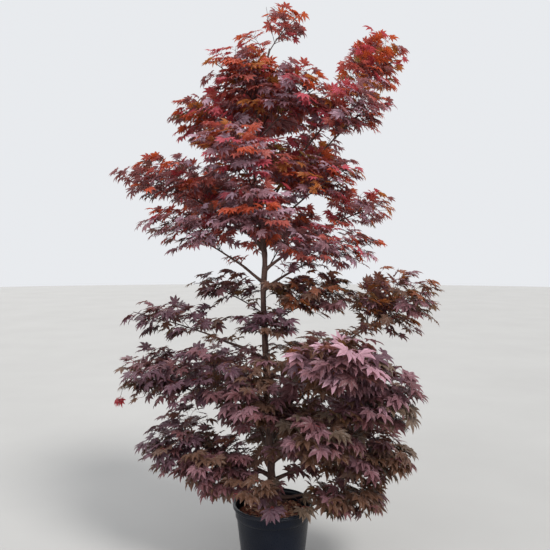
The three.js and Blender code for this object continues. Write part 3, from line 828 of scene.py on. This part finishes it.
def leaf_surface_effect():
    """Mottle, midribs and side veins of a leaf, from how far out and along its lobes a point lies."""
    group, given = effect("leaf_surface", ["Tint", "Shade", "Vein"], ["Vein strength"])
    surface = put(group, "ShaderNodeUVMap", uv_map="surface").outputs[0]
    side, along, _ = put(group, "ShaderNodeSeparateXYZ", {0: surface}).outputs
    position = places(group)
    rib = ramp(side, 0.04, 0.20, 1.0, 0.0)
    outward, inward = calc("MULTIPLY", along, 62.0), calc("MULTIPLY", side, 7.0)
    slant = calc("SUBTRACT", outward, inward)
    branches = ramp(calc("SINE", slant, 0.0), 0.72, 1.0, 0.0, 0.4)
    veins = calc("MAXIMUM", rib, branches)
    patches = ramp(grain(position, 11.0, 2.0), 0.38, 0.62)
    freckles = ramp(grain(position, 160.0, 3.0), 0.45, 0.72, 0.0, 0.35)
    waves = calc("MULTIPLY", grain(position, 55.0, 2.0), 3.0)
    spotted = calc("ADD", calc("MULTIPLY", patches, 0.55), freckles)
    mottle = calc("MINIMUM", spotted, 1.0)
    blade = mix_colours(mottle, given["Tint"], given["Shade"])
    strength = calc("MULTIPLY", veins, given["Vein strength"])
    return give(
        group,
        Color=mix_colours(strength, blade, given["Vein"]),
        Height=calc("SUBTRACT", calc("ADD", waves, freckles), veins),
        Roughness=ramp(patches, 0, 1, 0.27, 0.42),
    )


def bark_effect():
    """Smooth young bark: long streaks, fine pores and a few darker scars along the limb."""
    group, given = effect("young_bark", ["Bark", "Streak", "Scar"])
    surface = put(group, "ShaderNodeUVMap", uv_map="surface").outputs[0]
    streaks = grain(surface, 1.0, 5.0, 0.62, (420, 26, 1))
    scars = grain(surface, 1.0, 3.0, 0.5, (60, 210, 1))
    pores = grain(surface, 1.0, 2.0, 0.5, (900, 1500, 1))
    streak, scar = ramp(streaks, 0.42, 0.70), ramp(scars, 0.60, 0.72, 0.0, 0.85)
    streaked = mix_colours(streak, given["Bark"], given["Streak"])
    return give(
        group,
        Color=mix_colours(scar, streaked, given["Scar"]),
        Height=calc("ADD", streaks, calc("MULTIPLY", pores, 0.3)),
        Roughness=ramp(pores, 0.3, 0.7, 0.55, 0.8),
    )


def chip_effect():
    """Fibres along a chip of bark, paler in patches where it broke."""
    group, given = effect("chip_fibre", ["Wood", "Fibre"])
    position = places(group)
    fibres = grain(position, 1.0, 5.0, 0.65, (520, 240, 900))
    lumps = grain(position, 60.0, 3.0)
    share = calc("MULTIPLY", ramp(fibres, 0.38, 0.66), ramp(lumps, 0.3, 0.65))
    return give(group, Color=mix_colours(share, given["Wood"], given["Fibre"]), Height=fibres)


LEAF_SURFACE = leaf_surface_effect()
YOUNG_BARK = bark_effect()
CHIP_FIBRE = chip_effect()


def new_finish(name):
    finish = bpy.data.materials.new(name)
    finish.use_nodes = True
    return finish, finish.node_tree, finish.node_tree.nodes["Principled BSDF"]


def look(shader, colour, roughness, height=None, distance=0.0, strength=0.0):
    """Colour and roughness of a finish and, where it has relief, its height and strength."""
    feed(shader.inputs["Base Color"], colour)
    feed(shader.inputs["Roughness"], roughness)
    if height:
        relief = {"Height": height, "Distance": distance, "Strength": strength}
        feed(shader.inputs["Normal"], put(shader.id_data, "ShaderNodeBump", relief).outputs[0])


def leaf_finish(name, tint):
    """A satin leaf that lets some light through, with its own underside where it turns over."""
    colour, shade, vein, under = (tuple(part / 1000 for part in row) for row in LEAF_TINTS[tint])
    finish, tree, shader = new_finish(name)
    sockets = {"Tint": colour, "Shade": shade, "Vein": vein, "Vein strength": 0.75}
    blade = put(tree, "ShaderNodeGroup", sockets, node_tree=LEAF_SURFACE).outputs
    turned = put(tree, "ShaderNodeNewGeometry").outputs["Backfacing"]
    seen = mix_colours(turned, blade["Color"], under)
    look(shader, seen, blade["Roughness"], blade["Height"], 0.0022, 0.8)
    glow = put(tree, "ShaderNodeBsdfTranslucent", {"Color": under})
    mix = {0: LEAF_GLOW, 1: shader.outputs[0], 2: glow.outputs[0]}
    thin = put(tree, "ShaderNodeMixShader", mix).outputs[0]
    feed(tree.nodes["Material Output"].inputs["Surface"], thin)
    return finish


def bark_finish(name, bark, streak, scar, distance):
    finish, tree, shader = new_finish(name)
    colours = {"Bark": bark, "Streak": streak, "Scar": scar}
    skin = put(tree, "ShaderNodeGroup", colours, node_tree=YOUNG_BARK).outputs
    look(shader, skin["Color"], skin["Roughness"], skin["Height"], distance, 0.8)
    return finish


def stalk_finish(name, young, shaded_red):
    """A thin red leaf stalk, mixed in random patches from a lit red, as painted light, and a darker red, as
    painted shade.
    """
    finish, tree, shader = new_finish(name)
    patches = ramp(grain(places(tree), 14.0), 0.35, 0.65)
    look(shader, mix_colours(patches, young, shaded_red), 0.42)
    return finish


def chip_finish(name, wood, fibre):
    finish, tree, shader = new_finish(name)
    chip = put(tree, "ShaderNodeGroup", {"Wood": wood, "Fibre": fibre}, node_tree=CHIP_FIBRE).outputs
    look(shader, chip["Color"], 0.82, chip["Height"], 0.0015, 0.9)
    return finish


def pot_finish():
    """Blow-moulded black plastic: satin, scuffed, with dry dust low down and faint water marks."""
    finish, tree, shader = new_finish("pot_plastic")
    position = places(tree)
    height = put(tree, "ShaderNodeSeparateXYZ", {0: position}).outputs[2]
    low = ramp(height, 0.0, 0.17, 1.0, 0.12)
    dust = calc("MULTIPLY", ramp(grain(position, 9.0, 6.0), 0.46, 0.80, 0.0, 0.35), low)
    streaks = ramp(grain(position, 1.0, 3.0, 0.5, (46, 46, 3)), 0.60, 0.85, 0.0, 0.12)
    marks = calc("MAXIMUM", dust, streaks)
    clouds = ramp(grain(position, 3.5, 3.0), 0.3, 0.7)
    base = mix_colours(clouds, (0.0020, 0.0034, 0.0080), (0.0042, 0.0064, 0.0135))
    dusted = mix_colours(marks, base, (0.085, 0.080, 0.072))
    scuffs = grain(position, 1.0, 6.0, 0.7, (260, 260, 90))
    satin, dusty = ramp(scuffs, 0.35, 0.7, 0.24, 0.38), calc("MULTIPLY", marks, 0.4)
    look(shader, dusted, calc("ADD", satin, dusty), scuffs, 0.0004, 0.35)
    feed(shader.inputs["Specular IOR Level"], 0.18)
    return finish


def soil_finish():
    """Damp, dark compost between the chips."""
    finish, tree, shader = new_finish("damp_compost")
    crumbs = grain(places(tree), 210.0, 8.0, 0.7)
    lit = ramp(crumbs, 0.35, 0.68)
    damp = mix_colours(lit, (0.010, 0.006, 0.005), (0.075, 0.032, 0.018))
    look(shader, damp, 0.92, crumbs, 0.004, 1.0)
    return finish


def floor_finish():
    finish, tree, shader = new_finish("pale_floor")
    cloud = ramp(grain(places(tree), 0.8, 3.0), 0.3, 0.7)
    pale = mix_colours(cloud, (0.320, 0.318, 0.312), (0.342, 0.340, 0.334))
    look(shader, pale, 0.8)
    return finish


def make_trunk(bark):
    """The trunk with its root flare, ridges, and a swelling where each limb leaves it."""
    forks = [mass.leaves_trunk_at for mass in MASSES]
    heights = np.linspace(BARK_FOOT, TRUNK_TOP, TRUNK_RINGS)
    points = np.array([trunk_at(height) for height in heights])
    radii = []
    for height in heights:
        swelling = sum(math.exp(-(((height - fork) / FORK_REACH) ** 2)) for fork in forks)
        radii.append(lean_at(height, RADIUS) * (1 + FORK_SWELLING * min(swelling, 1.4)))

    def relief(i, angle, point):
        spot = Vector((math.cos(angle) * 1.6, math.sin(angle) * 1.6, point[2] * 0.008))
        fine = Vector((math.cos(angle) * 4.0, math.sin(angle) * 4.0, point[2] * 0.045))
        foot = max(0.0, 1 - (point[2] - BARK_FOOT) / FLARE_HEIGHT)
        roots = foot**2 * FLARE * math.cos(FLARE_ROOTS * angle + 0.6)
        return 1 + COARSE_RELIEF * noise.noise(spot) + FINE_RELIEF * noise.noise(fine) + roots

    pile = Pile()
    pile.add(*tube(points, radii, TRUNK_SIDES, relief), "trunk")
    pile.piece("trunk_bark", bark, "bark")


def make_boughs(bark):
    """The boughs, each thick at its collar, with a slight wave and knuckles along it."""
    pile = Pile()
    for mass in MASSES:
        if not mass.bough:
            continue
        random = dice(mass.seed + 17)
        points = mass.line.stretch(0, entry_of(mass), BOUGH_STEPS)
        sway = [random(-1, 1) for _ in range(4)]
        radii = []
        for i in range(len(points)):
            share = i / (len(points) - 1)
            hold = math.sin(math.pi * share)
            aside = SWAY_ACROSS * math.sin(6 * share + 3 * sway[0]) * sway[1]
            raised = SWAY_UP * math.sin(9 * share + 3 * sway[2]) * sway[3]
            points[i] += (mass.across * aside + UP * raised) * hold
            collar = 1 + COLLAR * math.exp(-((share / COLLAR_REACH) ** 2))
            knuckle = 1 + KNUCKLE * max(0.0, math.sin(share * 19 + sway[0])) ** 8
            radii.append(lerp(mass.base_radius, BOUGH_TIP_RADIUS, share) * collar * knuckle)

        def relief(i, angle, point):
            spot = Vector((math.cos(angle) * 1.8, math.sin(angle) * 1.8, i * 0.22 + mass.seed * 0.1))
            return 1 + BOUGH_RELIEF * noise.noise(spot)

        pile.add(*tube(points, radii, BOUGH_SIDES, relief), f"bough_{mass.name}")
    pile.piece("bough_bark", bark, "bark")


def lathe(profile, segments):
    """A profile of radius and height pairs turned about the vertical axis."""
    profile = np.array(profile, float)
    angles = np.linspace(0, 2 * math.pi, segments, endpoint=False)
    corners = np.array([[r * math.cos(a), r * math.sin(a), z] for r, z in profile for a in angles])
    travel = np.concatenate([[0], np.cumsum(np.linalg.norm(np.diff(profile, axis=0), axis=1))])
    grid = np.array([[k / segments, travel[i] * MM] for i in range(len(profile)) for k in range(segments)])
    return corners, bands(len(profile), segments), grid


def rounded(centre, radius, start, end, steps=7):
    """Points of an arc in the pot's profile, between two bearings in degrees."""
    return [heading_at(lerp(start, end, i / steps))[:2] * radius + centre for i in range(steps + 1)]


def make_pot(plastic):
    """Nursery pot: recessed base, tapering wall, stepped collar and a rolled rim with two ridges."""
    outside = [
        (0.5, 5), (96, 5), (100, 3.5), (104, 1.5), *rounded((135, 6), 6, -90, -8),
        (143.4, 20), (144.0, 23), (147, 47), (153, 96), (159.4, 150), (165.6, 205), (170.4, 246),
        (171.6, 253), *rounded((175.2, 258.4), 2.6, 200, 110, 4),
        (177.2, 263), (178.0, 276), (178.7, 296), (179.2, 303),
        *rounded((184.6, 307.6), 4.6, 215, 395, 8),
        (187.6, 311.0), *rounded((184.9, 315.2), 4.9, -38, 120, 9),
        (180.2, 319.0), (177.6, 317.4),
    ]
    inside = [
        (174.6, 313), (174.0, 300), (173.8, 266), (172, 259), (168.4, 254), (160, 180), (150, 90),
        (137.5, 12), (134, 8.4), (0.5, 8.2),
    ]
    pile = Pile()
    pile.add(*lathe([*outside, *inside], POT_SEGMENTS), "pot")
    pile.piece("pot_shell", plastic, "pot_plastic")


def make_soil(compost):
    """The compost, a little uneven on top and lower at the wall, down to the pot's base."""
    pile = Pile()
    profile = []
    for i in range(SOIL_RINGS + 1):
        share = i / SOIL_RINGS
        level = SOIL_LEVEL - SOIL_SUNK - SOIL_FALL * share**2
        profile.append((max(0.5, SOIL_RADIUS * share), level))
    profile += [(171, 259), (167.2, 253), (136, 12), (0.5, 12)]
    corners, faces, grid = lathe(profile[::-1], SOIL_SEGMENTS)
    top = corners[:, 2] > SOIL_LEVEL - 15
    for i in np.nonzero(top)[0]:
        spot = Vector(corners[i] * 0.06)
        corners[i, 2] += 3.0 * noise.noise(spot) + 1.6 * noise.noise(spot * 3.1)
    pile.add(corners, faces, grid, "potting_soil")
    pile.piece("compost", compost, "bark_soil")


def make_chips(finishes):
    """Bark chips laid on the compost: split, tapering slivers and flakes that lie every way."""
    random = dice(4099)
    piles = [Pile() for _ in finishes]
    for _ in range(CHIP_COUNT):
        distance = (SOIL_RADIUS - CHIP_WALL_GAP) * math.sqrt(random(0.012, 1))
        angle = random(0, 2 * math.pi)
        long = random(*CHIP_LENGTH) * (LONG_CHIP if random(0, 1) < LONG_CHIP_CHANCE else 1)
        wide, thick = long * random(*CHIP_WIDTH), long * random(*CHIP_THICKNESS)
        heading, pitch, roll = random(0, 2 * math.pi), random(*CHIP_PITCH), random(*CHIP_ROLL)
        x = np.array([math.cos(heading), math.sin(heading), 0.0]) * math.cos(pitch)
        x[2] = math.sin(pitch)
        y = unit(np.cross(UP, x) + UP * math.sin(roll))
        z = np.cross(x, y)
        corners = []
        ends = (-1, random(0.35, 0.8)), (-0.3, 1.0), (0.45, random(0.8, 1.0)), (1, random(0.1, 0.6))
        for along, share in ends:
            for side, lift in ((-1, -1), (1, -1), (1, 1), (-1, 1)):
                corners.append(
                    x * along * long + y * side * wide * share * random(0.85, 1.1)
                    + z * lift * thick * share * random(0.8, 1.1)
                )
        level = SOIL_LEVEL - SOIL_FALL * (distance / SOIL_RADIUS) ** 2 + random(*CHIP_LIFT)
        centre = np.array([distance * math.cos(angle), distance * math.sin(angle), level])
        corners = np.array(corners) + centre
        if np.hypot(corners[:, 0], corners[:, 1]).max() > SOIL_RADIUS - 0.5:
            continue
        faces = [[[3, 2, 1, 0], [12, 13, 14, 15]], *bands(4, 4)]
        which = 0 if random(0, 1) < 0.5 else (1 if random(0, 1) < 0.45 else 2)
        piles[which].add(corners, faces, corners[:, :2] * MM, "potting_soil")
    for pile, (name, finish) in zip(piles, finishes.items()):
        pile.piece(name, finish, "bark_soil", smooth=False)


def hang_leaves(mass, crown, tint, tip, drop, leaves, random):
    """Leaves at a twig's end, each given by its bearing and its share of the full size."""
    for bearing, growth in leaves:
        grow_leaf(mass, crown, tint, tip, unit(heading_at(bearing, drop)), random, None, growth)


def grow_young_tip(crown):
    """The small crimson leaves of a late shoot, at the far left of the lower crown."""
    random = dice(SEED_STEP * 77 + 3)
    mass = next(mass for mass in MASSES if mass.name == "left_big")
    root = mass.line.at(0.96)
    line = Line(root, lerp(root, YOUNG_TIP, 0.6) + UP * 16, YOUNG_TIP, TWIG_LINE_STEPS)
    lay_twig(mass, crown, line.stretch(0, 1, 6), TWIG_RADIUS, TWIG_TIP_RADIUS)
    hang_leaves(mass, crown, "young_crimson", YOUNG_TIP, YOUNG_DROP, YOUNG_LEAVES, random)


def grow_rim_sprig(crown):
    """A low sprig whose leaves hang over the front of the pot's rim."""
    random = dice(SEED_STEP * 78 + 11)
    mass = next(mass for mass in MASSES if mass.name == "front_skirt")
    root = mass.line.at(0.4)
    leafy_twig(mass, crown, "violet", root, RIM_SPRIG_TIP, TWIG_RADIUS, random, False, None)
    hang_leaves(mass, crown, "violet", RIM_SPRIG_TIP, RIM_DROP, RIM_LEAVES, random)


def make_crown():
    """All the leaves, stalks and twigs, as one piece for each tint or finish above and below."""
    crown = Crown()
    for mass in MASSES:
        grow_mass(mass, crown)
        if mass.bough:
            grow_side_twigs(mass, crown)
    grow_trunk_twigs(crown)
    grow_young_tip(crown)
    grow_rim_sprig(crown)
    part_of_crown = {"red_leaves": "upper", "plum_leaves": "lower"}
    finishes = {tint: leaf_finish(f"leaf_{tint}", tint) for tint in LEAF_TINTS}
    for (slot, tint), pile in sorted(crown.leaves.items()):
        pile.piece(f"leaves_{part_of_crown[slot]}_{tint}", finishes[tint], slot, folded=True)
    # Each stalk finish gets a lit red, as painted light, and a darker red, as painted shade
    stalk = {
        "red_leaves": stalk_finish("stalk_upper", (0.30, 0.030, 0.025), (0.12, 0.020, 0.018)),
        "plum_leaves": stalk_finish("stalk_lower", (0.38, 0.045, 0.050), (0.14, 0.025, 0.028)),
    }
    twig = bark_finish(
        "twig_bark", (0.045, 0.018, 0.016), (0.085, 0.036, 0.028), (0.02, 0.009, 0.008), 0.0004
    )
    for slot, pile in sorted(crown.stalks.items()):
        pile.piece(f"stalks_{part_of_crown[slot]}", stalk[slot], slot)
    for slot, pile in sorted(crown.twigs.items()):
        pile.piece(f"twigs_{part_of_crown[slot]}", twig, "bark")


def make_floor():
    mesh = bpy.data.meshes.new("floor")
    angles = [2 * math.pi * k / FLOOR_SIDES for k in range(FLOOR_SIDES)]
    ring = [(FLOOR_RADIUS * math.cos(angle), FLOOR_RADIUS * math.sin(angle), 0.0) for angle in angles]
    mesh.from_pydata(ring, [], [list(range(FLOOR_SIDES))])
    mesh.materials.append(floor_finish())
    floor = add_object("floor", mesh)


def soft_light(name, heading, spread, power, colour):
    """Light from a wide patch of sky, so that the floor is lit evenly."""
    lamp = bpy.data.lights.new(name, "SUN")
    lamp.energy, lamp.angle, lamp.color = power, math.radians(spread), colour
    made = add_object(name, lamp)
    made.rotation_mode = "QUATERNION"
    made.rotation_quaternion = Vector(heading).to_track_quat("-Z", "Y")


def light_studio():
    for light in LIGHTS:
        soft_light(*light)
    world = bpy.data.worlds.new("pale_room")
    world.use_nodes = True
    room = world.node_tree.nodes["Background"]
    room.inputs["Color"].default_value = ROOM_COLOUR
    room.inputs["Strength"].default_value = ROOM_POWER
    bpy.context.scene.world = world
    bpy.context.scene.view_settings.view_transform = "Standard"


def set_camera():
    lens = bpy.data.cameras.new("camera")
    lens.sensor_width = SENSOR_WIDTH
    lens.lens = SENSOR_WIDTH * FOCAL_LENGTH / FRAME_WIDTH
    lens.clip_end = 100
    camera = add_object("camera", lens)
    camera.location = EYE
    camera.rotation_euler = (math.pi / 2 - math.atan(HORIZON_RISE / FOCAL_LENGTH), 0, 0)
    bpy.context.scene.camera = camera


set_camera()
light_studio()
make_floor()
make_pot(pot_finish())
make_soil(soil_finish())
make_chips({
    "chips_red": chip_finish("chip_red", (0.190, 0.056, 0.032), (0.46, 0.170, 0.095)),
    "chips_tan": chip_finish("chip_tan", (0.48, 0.250, 0.145), (0.80, 0.56, 0.39)),
    "chips_dark": chip_finish("chip_dark", (0.045, 0.018, 0.013), (0.15, 0.062, 0.038)),
})
limb_bark = bark_finish(
    "maple_bark", (0.048, 0.021, 0.016), (0.125, 0.062, 0.042), (0.015, 0.009, 0.008), 0.0012
)
make_trunk(limb_bark)
make_boughs(limb_bark)
make_crown()
